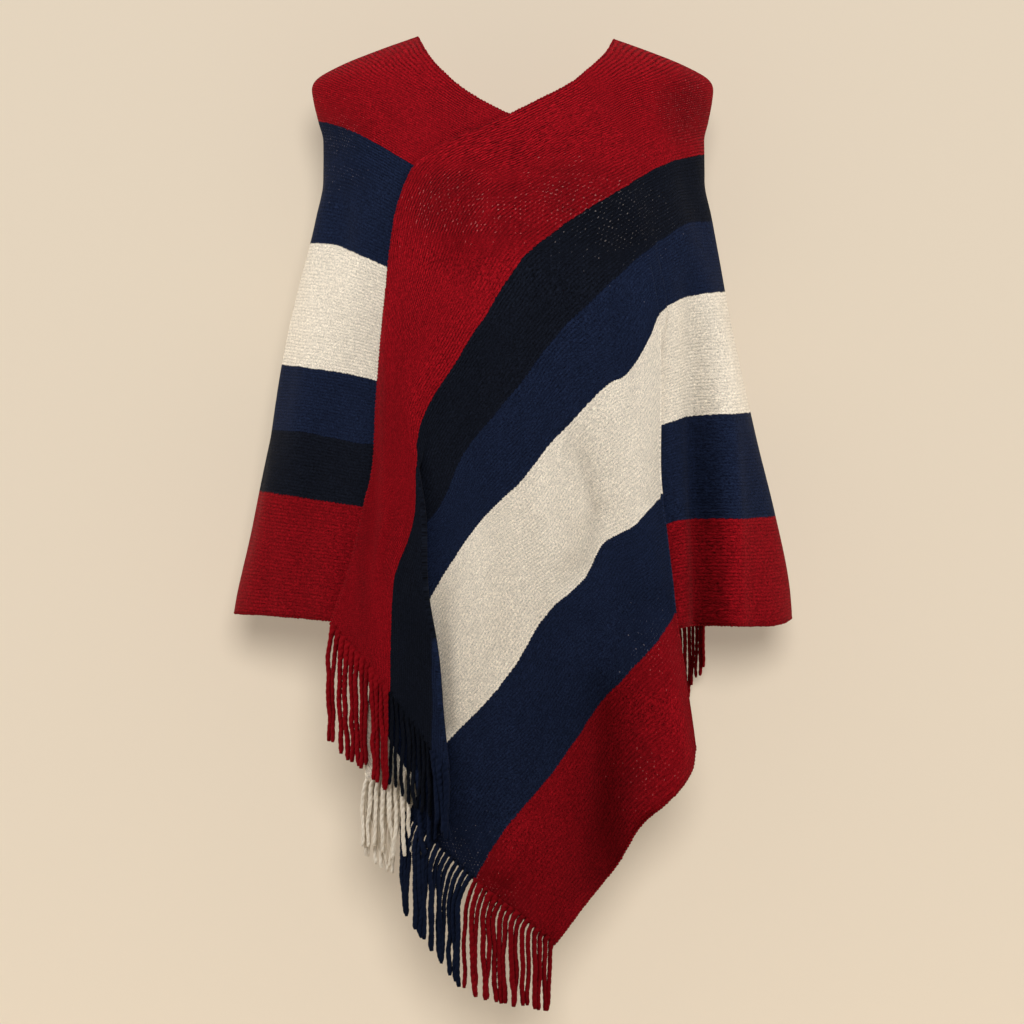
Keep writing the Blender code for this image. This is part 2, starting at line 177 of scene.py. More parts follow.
# folds that the cloth hangs in
# A crease: part that it is on, (x, height) along it, width and depth at its two ends (in is minus), shares
# of its length over which it comes and goes, first and last row from the neck, and how much painted
# shade (in a hollow) and painted light (on a crest) it gets.
wrapCreases = [
    ("front", [(60, -345), (73, -405), (86, -455), (78, -505), (46, -548)],
     (12, 15), (-7, -8), (0.3, 0.25), (250, 600), 1),
    ("sleeve", [(190, -150), (192, -225), (201, -340), (204, -400), (206, -455), (209, -600)],
     (14, 19), (-7, -36), (0.3, 0.0), (100, 700), 0.55),
    ("sleeve", [(220, -250), (230, -400), (238, -600)], (13, 15), (4, 13), (0.4, 0.0), (150, 700), 1),
    ("front", [(-80, -500), (-76, -600), (-68, -700)], (14, 18), (-2, -4), (0.3, 0.1), (262, 500), 1),
    ("front", [(92, -600), (99, -680), (101, -730), (101, -780), (104, -840)],
     (25, 40), (-15, -30), (0.35, 0.0), (420, 700), 1),
    ("front", [(152, -540), (161, -650), (167, -710), (164, -790)],
     (22, 24), (14, 24), (0.35, 0.1), (420, 700), 1),
    ("front", [(66, -840), (48, -885), (36, -925)], (12, 16), (-4, -8), (0.4, 0.0), (560, 700), 1),
    ("front", [(20, -770), (4, -810), (-14, -850)], (16, 16), (4, 4), (0.4, 0.2), (500, 700), 1),
    ("front", [(-130, -190), (-133, -300), (-135, -400), (-138, -500), (-142, -590)],
     (9, 8), (4, 4), (0.2, 0.2), (-20, 130), 1),
    ("front", [(-112, -330), (-110, -450), (-114, -560)], (10, 11), (-3, -3), (0.3, 0.2), (30, 200), 1),
    ("front", [(148, -160), (145, -230), (120, -310)], (17, 20), (5, 4), (0.3, 0.4), (150, 360), 1),
    ("front", [(146, -440), (146, -500), (150, -560)], (22, 22), (4, 5), (0.3, 0.3), (300, 600), 1),
    ("front", [(-46, -690), (-38, -730), (-40, -790)], (12, 12), (3, 3), (0.3, 0.3), (400, 600), 1),
    ("front", [(-88, -165), (-48, -192), (0, -203)], (26, 30), (-6, -7), (0.3, 0.4), (-40, 230), 1),
    ("back", [(228, -170), (236, -300), (245, -440), (250, -590)],
     (14, 20), (-3, -12), (0.3, 0.0), (100, 700), 1),
    ("back", [(150, -210), (158, -330), (170, -470), (176, -590)],
     (16, 22), (-3, -11), (0.3, 0.0), (120, 700), 1),
]
underCreases = [
    ("front", [(-188, -95), (-181, -165), (-177, -230)], (13, 14), (-4, -3), (0.35, 0.4), (90, 300), 1),
    ("front", [(-205, -300), (-216, -420), (-226, -600)], (14, 20), (-2, -6), (0.35, 0.0), (200, 700), 1),
    ("front", [(-248, -400), (-262, -480), (-272, -600)], (12, 18), (-1, -5), (0.35, 0.0), (300, 700), 1),
    ("sleeve", [(-196, -180), (-204, -300), (-206, -420), (-214, -600)],
     (14, 20), (-4, -24), (0.3, 0.0), (120, 700), 1),
    ("back", [(-64, -330), (-78, -400), (-88, -460), (-76, -520), (-46, -560)],
     (13, 16), (-6, -7), (0.3, 0.25), (200, 600), 1),
    ("back", [(30, -250), (44, -340), (62, -420)], (18, 20), (-4, -5), (0.35, 0.35), (120, 500), 1),
    ("back", [(-80, -590), (-70, -640), (-66, -720)], (15, 20), (-6, -12), (0.35, 0.0), (450, 700), 1),
    ("back", [(-30, -640), (-18, -690), (-10, -770)], (18, 20), (5, 8), (0.35, 0.0), (450, 700), 1),
]
hollow = {"scale": 65.0, "range": (0.6, 1.26)}  # painted shade and light: hollows are painted a little darker and crests lighter
# a faint unevenness, shared by both panels so that they stay apart, and gone at the shoulders
ripple = {"height": 1.6, "lengths": (118, 74, 47), "starts": (1.7, 0.6), "thirdShare": 0.6,
          "radius": 180, "wave": 6.3, "calm": 120}

# Where the knit is pulled open, with pinholes and painted shade: x, height, half width, half height, how
# open.
wrapOpen = [
    (-62, -122, 40, 26, 0.5), (0, -130, 60, 28, 0.3), (62, -112, 34, 26, 0.5), (100, -135, 44, 34, 0.42),
    (120, -150, 26, 18, 0.4), (187, -14, 20, 26, 0.5), (-66, -830, 34, 30, 0.55),
    (-18, -872, 26, 24, 0.5), (150, -600, 22, 26, 0.2), (150, -730, 22, 30, 0.15),
]
underOpen = [(-190, -46, 20, 18, 0.4), (-180, -92, 22, 14, 0.15)]


def curveThrough(knots, values, at):  # smooth, and never swings past a value
    knots = np.asarray(knots, float)
    values = np.asarray(values, float).reshape(len(knots), -1)
    step = np.diff(knots)[:, None]
    rise = np.diff(values, axis=0) / step
    slope = np.empty_like(values)
    slope[0], slope[-1] = rise[0], rise[-1]
    before, after = rise[:-1], rise[1:]
    mean = (before * step[1:] + after * step[:-1]) / (step[1:] + step[:-1])
    limit = 3 * np.minimum(abs(before), abs(after))
    slope[1:-1] = np.where(before * after > 0, np.clip(mean, -limit, limit), 0)
    at = np.atleast_1d(np.asarray(at, float))
    inside = np.clip(at, knots[0], knots[-1])
    left = np.clip(np.searchsorted(knots, inside, side="right") - 1, 0, len(knots) - 2)
    width = step[left]
    t = (inside - knots[left])[:, None] / width
    start, end = values[left], values[left + 1]
    found = start + (end - start) * t * t * (3 - 2 * t)
    found += t * (1 - t) * width * ((1 - t) * slope[left] - t * slope[left + 1])
    beyond = (at - inside)[:, None]
    return found + beyond * np.where(beyond < 0, slope[0], slope[-1])


def ringSize(height, lift):
    table = np.array(figure[::-1], float)
    size = curveThrough(table[:, 0], table[:, 1:], np.ravel(height))
    lift = np.ravel(lift)
    return size[:, 0] + lift, size[:, 1] + lift


def ringPoint(place):  # rows of angle from the front's middle, height and lift
    place = np.atleast_2d(place)
    halfWidth, halfDepth = ringSize(place[:, 1], place[:, 2])
    across, forward = np.sin(place[:, 0]), np.cos(place[:, 0])
    power = 2 / cloth["ringPower"]
    x = halfWidth * np.sign(across) * abs(across) ** power
    y = -halfDepth * np.sign(forward) * abs(forward) ** power
    return np.stack([x, y, place[:, 1]], axis=1)


def ringAngle(x, height, face, lift, side):
    if face == "side":
        return side * np.pi / 2
    halfWidth = ringSize(height, lift)[0][0]
    tilt = np.sign(x) * np.arcsin(min(1.0, abs(x) / halfWidth) ** (cloth["ringPower"] / 2))
    return tilt if face == "front" else side * np.pi - tilt


def ringOutward(points):  # level direction straight out of the ring
    halfWidth, halfDepth = ringSize(points[:, 2], np.zeros(len(points)))
    power = cloth["ringPower"] - 1
    x = np.sign(points[:, 0]) * abs(points[:, 0] / halfWidth) ** power / halfWidth
    y = np.sign(points[:, 1]) * abs(points[:, 1] / halfDepth) ** power / halfDepth
    out = np.stack([x, y, np.zeros(len(points))], axis=1)
    return out / np.maximum(np.linalg.norm(out, axis=1), 1e-9)[:, None]


def foldProfile():  # share of the way across, reach past the ends and height, the last two in radii
    turn = np.radians(np.linspace(90, -90, cloth["turnSteps"] + 1))
    flat = np.linspace(0, 1, cloth["flatSteps"] + 2)[1:-1]
    upper = [(0.0, np.cos(a), 3 + np.sin(a)) for a in turn]
    lower = [(1.0, -np.cos(a), 1 + np.sin(a)) for a in turn]
    return np.array(upper + [(share, 0.0, 2.0) for share in flat] + lower)


def foldBetween(upper, lower, flat, side):  # from an upper layer to a lower one: a ramp, or flat
    profile = foldProfile()
    ramp = np.linspace(0, 1, len(profile))[:, None]
    ease = ramp * ramp * (3 - 2 * ramp)
    opened = ringPoint(upper + (lower - upper) * np.hstack([ramp, ramp, ease]))
    if flat <= 0:
        return opened
    radius = max((upper[2] - lower[2]) / 4, cloth["tightFold"])
    closedPlace = upper + (lower - upper) * profile[:, :1]
    closedPlace[:, 2] = lower[2] + radius * profile[:, 2]
    further = np.array([side * 0.01, 0, 0])  # a small turn round the ring
    outward = ringPoint(closedPlace + further) - ringPoint(closedPlace)
    outward /= np.linalg.norm(outward, axis=1)[:, None]
    closed = ringPoint(closedPlace) + outward * radius * profile[:, 1:2]
    return opened + (closed - opened) * flat


def shareOfLength(points):  # 0 to 1 along a line of points
    steps = np.linalg.norm(np.diff(points, axis=0), axis=1)
    run = np.concatenate([[0.0], np.cumsum(steps)])
    return run / run[-1]


class Panel:  # one knitted panel as a fine grid of points in the middle of its cloth
    def __init__(self, sections, stripes, side, pleat=None):
        self.lines = np.concatenate([[0.0], np.cumsum([width for _, width in stripes])])
        self.stripes, self.side = stripes, side
        self.names = [section[0] for section in sections]
        middle = self.names.index("outside")
        faces = ["front"] * middle + ["side"] + ["back"] * (len(sections) - middle - 1)
        self.table = np.array([self.sectionPlaces(*pair) for pair in zip(sections, faces)])
        points = np.array([ringPoint(row) for row in self.table])
        steps = np.linalg.norm(np.diff(points, axis=0), axis=2).mean(axis=1)
        self.along = np.concatenate([[0.0], np.cumsum(steps)])
        self.neck = [section[3][0] for section in sections]
        self.neckFrom = self.at("vee") if pleat else 0.0
        self.pleat = None
        if pleat:
            self.pleat = self.table[:, :3].copy()
            for name, linePoints in pleat.items():
                row = self.names.index(name)
                lift = self.table[row, :3, 2]
                for i, (x, height) in enumerate(linePoints):
                    angle = ringAngle(x, height, "front", lift[i] + foldRise, side)
                    self.pleat[row, i] = angle, height, lift[i]
        self.makeGrid()

    def sectionPlaces(self, section, face):
        _, neckLift, hemLift, *points = section
        lines = self.lines
        share = np.clip((lines - lines[1]) / (lines[4] - lines[1]), 0, 1)
        lift = neckLift + (hemLift - neckLift) * share
        given = [i for i, point in enumerate(points) if point is not None]
        flat = [(ringAngle(*points[i], face, lift[i], self.side), points[i][1]) for i in given]
        angle, height = (np.interp(lines, lines[given], column) for column in zip(*flat))
        return np.stack([angle, height, lift], axis=1)

    def at(self, name):
        return self.along[self.names.index(name)]

    def places(self, s, distances, table=None):
        table = self.table if table is None else table
        row = curveThrough(self.along, table.reshape(len(table), -1), s).reshape(-1, 3)
        if s >= self.neckFrom:  # the neck edge is a smooth line as seen from the front
            x = curveThrough(self.along, self.neck, s)[0, 0]
            face = "front" if s < self.at("outside") else "back"
            row[0, 0] = ringAngle(x, row[0, 1], face, row[0, 2], self.side)
        return curveThrough(self.lines[: len(row)], row, distances)

    def column(self, s):  # places, points and distances from the neck edge along one section
        hem = self.lines[-1]
        if self.pleat is None:
            distances = np.linspace(0, hem, int(hem / cloth["rowStep"]) + 1)
            places = self.places(s, distances)
            return places, ringPoint(places), distances
        knots = [self.at(name) for name in pleatFold]
        ends, starts, flat, raised = curveThrough(knots, list(pleatFold.values()), s)[0]
        upperCount, lowerCount = (int(width / cloth["rowStep"]) + 1 for width in cloth["pleatRows"])
        upperRows = np.linspace(0, ends, upperCount)
        lowerRows = np.linspace(starts, hem, lowerCount)
        upper = self.places(s, upperRows, self.pleat)
        upper[:, 2] += foldRise * raised
        lower = self.places(s, lowerRows)
        between = foldBetween(upper[-1], lower[0], flat, self.side)
        share = shareOfLength(between)
        foldRows = ends + (starts - ends) * share
        foldPlaces = upper[-1] + (lower[0] - upper[-1]) * share[:, None]
        places = np.vstack([upper[:-1], foldPlaces, lower[1:]])
        points = np.vstack([ringPoint(upper[:-1]), between, ringPoint(lower[1:])])
        return places, points, np.concatenate([upperRows[:-1], foldRows, lowerRows[1:]])

    def makeGrid(self):  # grid of points, with each one's place along (s) and across (v) the panel
        edge, turn = self.at("foldEdge"), self.at("foldTurn")
        first, last = sorted([edge, turn])
        edgePlaces, edgePoints, distances = self.column(edge)
        turnPlaces, turnPoints, _ = self.column(turn)
        flat = np.clip((distances - sideFold["top"]) / sideFold["fade"] + 1, 0, 1)
        count = len(foldProfile())
        middle = np.empty((count, len(distances), 3))
        middleS = np.empty((count, len(distances)))
        for i, share in enumerate(flat):
            if share > 0:
                middle[:, i] = foldBetween(edgePlaces[i], turnPlaces[i], share, self.side)
            else:
                steps = np.linspace(0, 1, count)[:, None]
                middle[:, i] = edgePoints[i] + (turnPoints[i] - edgePoints[i]) * steps
            middleS[:, i] = edge + (turn - edge) * shareOfLength(middle[:, i])
        if turn < edge:
            middle, middleS = middle[::-1], middleS[::-1]
        before = np.linspace(0, first, int(first / cloth["columnStep"]) + 1)
        length = self.along[-1] - last
        after = np.linspace(last, self.along[-1], int(length / cloth["columnStep"]) + 1)
        left = [self.column(s) for s in before[:-1]]
        right = [self.column(s) for s in after[1:]]
        self.grid = np.array([c[1] for c in left] + list(middle) + [c[1] for c in right])
        self.s = np.array([np.full(len(distances), s) for s in before[:-1]] + list(middleS)
                          + [np.full(len(distances), s) for s in after[1:]])
        self.v = np.array([c[2] for c in left] + [distances] * count + [c[2] for c in right])

    def partMask(self, part):  # 1 on the named part, fading out over the side fold and the arm
        edge, turn, outside = self.at("foldEdge"), self.at("foldTurn"), self.at("outside")
        soft = cloth["armFade"]
        if self.side > 0:
            knots = {"front": ([edge, turn], [1, 0]),
                     "sleeve": ([edge, turn, outside - soft, outside], [0, 1, 1, 0]),
                     "back": ([outside, outside + soft], [0, 1])}[part]
        else:
            knots = {"front": ([outside - soft, outside], [1, 0]),
                     "sleeve": ([outside, outside + soft, turn, edge], [0, 1, 1, 0]),
                     "back": ([turn, edge], [0, 1])}[part]
        return np.interp(self.s, *knots)

    def hang(self, creases, openings):  # the soft folds with their painted shade and light, and where the knit is pulled open
        x, y, z = (self.grid[:, :, i].copy() for i in range(3))
        move, tone = np.zeros_like(x), np.ones_like(x)
        soft = cloth["creaseEdge"]
        for part, line, width, depth, fade, (low, high), shading in creases:
            mask = self.partMask(part)
            mask = mask * np.clip((self.v - low) / soft, 0, 1) * np.clip((high - self.v) / soft, 0, 1)
            fold = mask * creaseMove(x, z, line, width, depth, fade)
            move += fold
            # painted shade in each hollow and painted light on each crest
            tone += fold / hollow["scale"] * shading
        self.lit = np.clip(tone, *hollow["range"])
        (a, b, c), (second, third) = ripple["lengths"], ripple["starts"]
        turn = np.arctan2(x, -y) * ripple["radius"] * ripple["wave"]
        wave = np.sin(turn / a + z / b) + np.sin(turn / b - z / a * 2 + second)
        wave += ripple["thirdShare"] * np.sin(turn / c + z / c + third)
        move += ripple["height"] * wave * np.clip(-z / ripple["calm"], 0, 1)
        outward = ringOutward(self.grid.reshape(-1, 3)).reshape(self.grid.shape)
        self.grid = self.grid + outward * move[:, :, None]
        self.open = np.zeros_like(x)
        for cx, cz, wide, tall, much in openings:
            near = np.exp(-((x - cx) / wide) ** 2 - ((z - cz) / tall) ** 2) * (y < 0)
            self.open = np.maximum(self.open, near * much)


def creaseMove(x, z, line, width, depth, fade):
    points = np.array(line, float)
    lengths = np.linalg.norm(np.diff(points, axis=0), axis=1)
    total, done = lengths.sum(), 0.0
    best, share = np.full(x.shape, 1e9), np.zeros(x.shape)
    for start, end, length in zip(points, points[1:], lengths):
        dx, dz = (end - start) / length
        t = np.clip((x - start[0]) * dx + (z - start[1]) * dz, 0, length)
        away = np.hypot(x - start[0] - t * dx, z - start[1] - t * dz)
        closer = away < best
        best = np.where(closer, away, best)
        share = np.where(closer, (done + t) / total, share)
        done += length
    width = width[0] + (width[1] - width[0]) * share
    depth = depth[0] + (depth[1] - depth[0]) * share
    fadeIn, fadeOut = fade
    fade = np.ones(x.shape)
    if fadeIn:
        fade *= np.clip(share / fadeIn, 0, 1)
    if fadeOut:
        fade *= np.clip((1 - share) / fadeOut, 0, 1)
    fade = fade * fade * (3 - 2 * fade)
    return depth * fade * np.exp(-((best / width) ** 2))


wrap = Panel(wrapSections, wrapStripes, 1, wrapPleat)
under = Panel(underSections, underStripes, -1)
wrap.hang(wrapCreases, wrapOpen)
under.hang(underCreases, underOpen)
print("panels shaped:", wrap.grid.shape, under.grid.shape)


# node helpers
class Signal:  # what comes out of a node, so that sums with it are written as sums
    def __init__(self, tree, socket, vector=False):
        self.tree, self.socket, self.vector = tree, socket, vector

    def calc(self, operation, *others, clamp=False):
        kind = "ShaderNodeVectorMath" if self.vector else "ShaderNodeMath"
        made = addNode(self.tree, kind, dict(enumerate([self, *others])), operation=operation)
        if clamp:
            made.use_clamp = True
        return Signal(self.tree, made.outputs[0], self.vector)

    def __add__(self, other):
        return self.calc("ADD", other)

    def __sub__(self, other):
        return self.calc("SUBTRACT", other)

    def __mul__(self, other):
        return self.calc("MULTIPLY", other)

    def ramp(self, gain, start):  # gain times this, and start on top
        return self.calc("MULTIPLY_ADD", gain, start)

    def takenFrom(self, start, clamp=False):  # start without this
        made = addNode(self.tree, "ShaderNodeMath", {0: start, 1: self}, operation="SUBTRACT")
        made.use_clamp = clamp
        return Signal(self.tree, made.outputs[0])

    def stretch(self, amount):  # a vector times a number
        inputs = {0: self, "Scale": amount}
        return signal(self.tree, "ShaderNodeVectorMath", inputs, 0, True, operation="SCALE")

    def split(self):
        made = addNode(self.tree, "ShaderNodeSeparateXYZ", {0: self})
        return [Signal(self.tree, socket) for socket in made.outputs]


def fill(tree, node, inputs):  # joins each input to a socket, or gives it a value
    for socket, value in inputs.items():
        value = getattr(value, "socket", value)
        if isinstance(value, bpy.types.NodeSocket):
            tree.links.new(value, node.inputs[socket])
        else:
            node.inputs[socket].default_value = value


def addNode(tree, kind, inputs=None, **settings):
    made = tree.nodes.new(kind)
    for name, value in settings.items():
        setattr(made, name, value)
    fill(tree, made, inputs or {})
    return made


def signal(tree, kind, inputs=None, output=0, vector=False, **settings):
    return Signal(tree, addNode(tree, kind, inputs, **settings).outputs[output], vector)


def combine(tree, x=0.0, y=0.0, z=0.0):
    return signal(tree, "ShaderNodeCombineXYZ", {0: x, 1: y, 2: z}, 0, True)


def noise(tree, vector, scale, detail=2.0, roughness=0.5, output="Fac"):
    inputs = {"Vector": vector, "Scale": scale, "Detail": detail, "Roughness": roughness}
    return signal(tree, "ShaderNodeTexNoise", inputs, output, output == "Color")


def stored(tree, name, output="Fac"):  # an attribute of the mesh
    return signal(tree, "ShaderNodeAttribute", None, output, output == "Vector", attribute_name=name)


def newMaterial(name):
    material = bpy.data.materials.new(name)
    material.use_nodes = True
    return material, material.node_tree


wool = {
    "red": (0.26, 0.0040, 0.0082),
    "wine": (0.225, 0.0036, 0.0072),  # the outer red, a little deeper
    "black": (0.0062, 0.0080, 0.0140),
    "navy": (0.0088, 0.0145, 0.037),
    "cream": (0.88, 0.785, 0.645),
    "bump": 0.9,
    "surface": {"Roughness": 0.92, "Specular IOR Level": 0.04, "Sheen Weight": 0.03,
                "Sheen Roughness": 0.35, "Sheen Tint": (0.95, 0.88, 0.86, 1)},
}
# Pairs are a gain and a start, but a noise is its scale, its detail and sometimes its roughness.
knit = {
    "course": 3.5,  # one course, in mm
    "wale": 3.9,  # one stitch along a course, in mm
    "slant": 0.12,  # how far a stitch leans, in stitches
    "wander": [(34.0, 1.0), (210.0, 0.5), (520.0, 0.35)],  # noise that the rows wander by: scale, stitches
    "swell": (0.35, 0.65),  # of a loop along its course
    "grain": (430.0, 2.0, 0.75), "grainShare": 0.55,
    "fibre": (950.0, 2.0, 0.7), "fibreShare": 0.75,
    "clearScale": 11.0, "clearFrom": 0.28, "clearGain": 2.3,  # ridges are felted over in places
    "chestReach": 1.3, "chestFade": 5.0, "chest": (0.75, 0.25),  # and clearest near the neck
    "ridges": (1.2, 0.16), "fuzzHeight": 0.9, "relief": 0.0009,
    "jag": 0.22,  # how far stitches of one stripe reach into the next
    "stitchTone": (0.26, 0.78), "patch": (16.0, 3.0), "patchTone": 0.18,
    "dipFrom": 0.52, "gapShade": (1.15, 0.88),  # painted shade: the gaps between courses are darker
    "fuzzTone": (3.7, -2.38),
    "evenTone": 0.9, "evenShare": 0.5,  # pale stripes get less of the painted shade and the random tone
    "openShade": (-0.4, 1.0),  # painted shade: darker where the knit is pulled open
    "holeChance": 3.4, "holeMix": 37.0, "holeSize": (0.33, 0.12), "holeSharp": 3.0, "holeStrength": 0.5,
    "hole": (0.72, 0.60, 0.55, 1),
}
yarnLook = {
    "tone": {"red": 0.56, "wine": 0.68, "black": 0.44, "navy": 0.44, "cream": 0.96},
    "fibre": (1400.0, 3.0, 0.7), "fibreTone": 0.8, "relief": 0.0006,
    "patchScale": 90.0, "patchTone": (0.5, 0.75),
    "strandTone": (0.3, 0.8),  # each strand its own
}


def knitMaterial(name, stripes):
    material, tree = newMaterial(name)
    placed = stored(tree, "cloth", "Vector")
    _, fromNeck, apart = placed.split()
    stitches = placed * (1 / (knit["wale"] * mm), 1 / (knit["course"] * mm), 0.0)
    for scale, amount in knit["wander"]:
        drift = noise(tree, placed, scale, output="Color") - (0.5, 0.5, 0.5)
        stitches = stitches + drift.stretch(amount)
    alongCourse, courses, _ = stitches.split()
    course = courses.calc("FLOOR")
    across = courses - course
    # every other course is half a stitch further along
    alongRow = alongCourse + course.calc("FLOORED_MODULO", 2.0) * 0.5 + across * knit["slant"]
    bead = (alongRow * (2 * math.pi)).calc("COSINE").ramp(-0.5, 0.5)
    loop = (across * math.pi).calc("SINE") * bead.ramp(*knit["swell"])
    fuzz = noise(tree, placed, *knit["grain"]) * knit["grainShare"]
    fuzz = fuzz + noise(tree, placed, *knit["fibre"]) * knit["fibreShare"]
    clear = noise(tree, placed, knit["clearScale"]) - knit["clearFrom"]
    clear = clear.calc("MULTIPLY", knit["clearGain"], clamp=True)
    chest = (fromNeck * knit["chestFade"]).takenFrom(knit["chestReach"], clamp=True)
    ridges = (clear * chest.ramp(*knit["chest"])).ramp(*knit["ridges"])
    height = fuzz.ramp(knit["fuzzHeight"], loop * ridges)

    # stripes change on a course, with the stitches of both sides reaching into each other
    total = sum(width for _, width in stripes)
    line = bead.ramp(knit["jag"], courses).calc("FLOOR") * (knit["course"] / total)
    striped = addNode(tree, "ShaderNodeValToRGB", {0: line})
    stops = striped.color_ramp.elements
    striped.color_ramp.interpolation = "CONSTANT"
    start = 0.0
    for i, (colour, width) in enumerate(stripes):
        stop = stops[i] if i < 2 else stops.new(start / total)
        stop.position = start / total
        stop.color = (*wool[colour], 1)
        start += width
    base = Signal(tree, striped.outputs["Color"], True)

    stitch = combine(tree, alongRow.calc("FLOOR"), course)
    chance = signal(tree, "ShaderNodeTexWhiteNoise", {"Vector": stitch}, "Value", noise_dimensions="2D")
    tone = chance.ramp(*knit["stitchTone"]) + noise(tree, placed, *knit["patch"]) * knit["patchTone"]
    # painted shade in the gaps between courses, with the fibre noise on top
    shade = ((loop - knit["dipFrom"]) * ridges).ramp(*knit["gapShade"]) + fuzz.ramp(*knit["fuzzTone"])
    tone = tone * shade
    pale = signal(tree, "ShaderNodeSeparateColor", {0: base}, "Green")
    tone = tone + tone.takenFrom(knit["evenTone"]) * (pale * knit["evenShare"])
    # painted shade where the knit is pulled open
    tone = tone * apart.ramp(*knit["openShade"])
    # painted crease shade and light from the panel, times the tone
    colour = base.stretch(tone * stored(tree, "lit"))

    # pinholes where the knit is pulled open
    aside = (alongRow.calc("FRACT") - 0.5) * knit["wale"]
    above = (across - 0.5) * knit["course"]
    reach = (aside.calc("POWER", 2.0) + above.calc("POWER", 2.0)).calc("SQRT")
    picked = chance.calc("GREATER_THAN", (apart * knit["holeChance"]).takenFrom(1.0))
    hole = (chance * knit["holeMix"]).calc("FRACT").ramp(*knit["holeSize"]) - reach
    hole = hole.calc("MULTIPLY", knit["holeSharp"], clamp=True) * picked * knit["holeStrength"]
    speckled = signal(tree, "ShaderNodeMixRGB", {"Fac": hole, "Color1": colour, "Color2": knit["hole"]})
    finishWool(tree, speckled, height, knit["relief"])
    return material


def finishWool(tree, colour, height, relief):
    bump = signal(tree, "ShaderNodeBump", {"Height": height, "Distance": relief, "Strength": wool["bump"]})
    fill(tree, tree.nodes["Principled BSDF"], {"Base Color": colour, "Normal": bump, **wool["surface"]})


def yarnMaterial(name, colour):
    material, tree = newMaterial(name)
    place = signal(tree, "ShaderNodeTexCoord", None, "Object", True)
    fibre = noise(tree, place, *yarnLook["fibre"])
    patch = noise(tree, place, yarnLook["patchScale"]).ramp(*yarnLook["patchTone"])
    tone = fibre.ramp(yarnLook["fibreTone"], yarnLook["tone"][colour]) * patch
    tone = tone * stored(tree, "tone").ramp(*yarnLook["strandTone"])
    colours = {"Color1": (0, 0, 0, 1), "Color2": (*wool[colour], 1)}
    finishWool(tree, signal(tree, "ShaderNodeMixRGB", {"Fac": tone, **colours}), fibre, yarnLook["relief"])
    return material


wrapKnit = knitMaterial("wrapKnit", wrapStripes)
underKnit = knitMaterial("underKnit", underStripes)
yarns = {colour: yarnMaterial(colour + "Yarn", colour) for colour in yarnLook["tone"]}
print("materials made")


# the panels as closed walls
def storeOnMesh(mesh, name, values):  # a number or a vector for each point
    values = np.asarray(values, float)
    kind, field = ("FLOAT_VECTOR", "vector") if values.ndim == 2 else ("FLOAT", "value")
    mesh.attributes.new(name, kind, "POINT").data.foreach_set(field, values.ravel())


def gridNormals(grid):
    normals = np.cross(np.gradient(grid, axis=0), np.gradient(grid, axis=1))
    return normals / np.maximum(np.linalg.norm(normals, axis=2), 1e-9)[:, :, None]


def panelWall(name, panel, material):
    grid, normals = panel.grid, gridNormals(panel.grid)
    columns, rows = grid.shape[:2]
    half = cloth["thickness"] / 2
    number = np.arange(columns * rows).reshape(columns, rows)
    back = columns * rows
    quads = np.stack([number[:-1, :-1], number[1:, :-1], number[1:, 1:], number[:-1, 1:]], axis=-1)
    quads = quads.reshape(-1, 4)
    rim = [(i, 0) for i in range(columns)]
    rim += [(columns - 1, j) for j in range(1, rows)]
    rim += [(i, rows - 1) for i in range(columns - 2, -1, -1)]
    rim += [(0, j) for j in range(rows - 2, 0, -1)]
    rimAt = np.array(rim)
    edge = number[rimAt[:, 0], rimAt[:, 1]]
    inner = grid[np.clip(rimAt[:, 0], 1, columns - 2), np.clip(rimAt[:, 1], 1, rows - 2)]
    middle = grid[rimAt[:, 0], rimAt[:, 1]]
    outward = middle - inner
    outward /= np.linalg.norm(outward, axis=1)[:, None]
    middle = middle + outward * cloth["rimRound"]
    outer, inside = grid + normals * half, grid - normals * half
    points = np.concatenate([outer.reshape(-1, 3), inside.reshape(-1, 3), middle])
    first = 2 * back + np.arange(len(rim))
    second = np.roll(first, -1)
    here, there = edge, np.roll(edge, -1)
    faces = np.concatenate([
        quads, quads[:, ::-1] + back,
        np.stack([there, here, first, second], axis=1),
        np.stack([second, first, here + back, there + back], axis=1),
    ])
    mesh = bpy.data.meshes.new(name)
    mesh.from_pydata((points * mm).tolist(), [], faces.tolist())
    place = np.stack([panel.s * mm, panel.v * mm, panel.open], axis=-1).reshape(-1, 3)
    # the painted crease shade and light goes with each point
    lit = panel.lit.ravel()
    storeOnMesh(mesh, "cloth", np.concatenate([place, place, place[edge]]))
    storeOnMesh(mesh, "lit", np.concatenate([lit, lit, lit[edge]]))
    mesh.materials.append(material)
    mesh.shade_smooth()
    return addObject(name, mesh)


wrapPiece = panelWall("wrapPanel", wrap, wrapKnit)
underPiece = panelWall("underPanel", under, underKnit)
print("panels built:", len(wrapPiece.data.polygons), len(underPiece.data.polygons), "quads")


# Geometry Nodes
def startTree(name, sockets):
    tree = bpy.data.node_groups.new(name, "GeometryNodeTree")
    for kind, labels in sockets.items():
        for label in labels:
            tree.interface.new_socket(label, in_out="INPUT", socket_type="NodeSocket" + kind)
    tree.interface.new_socket("Pieces", in_out="OUTPUT", socket_type="NodeSocketGeometry")
    inputs = tree.nodes.new("NodeGroupInput").outputs
    return tree, {label: Signal(tree, inputs[label]) for labels in sockets.values() for label in labels}


def finishTree(tree, geometry, material):  # smooth plain meshes with their material
    for kind in ("SetShadeSmooth", "RealizeInstances"):
        geometry = signal(tree, "GeometryNode" + kind, {"Geometry": geometry})
    geometry = signal(tree, "GeometryNodeSetMaterial", {"Geometry": geometry, "Material": material})
    fill(tree, tree.nodes.new("NodeGroupOutput"), {0: geometry})
    return tree


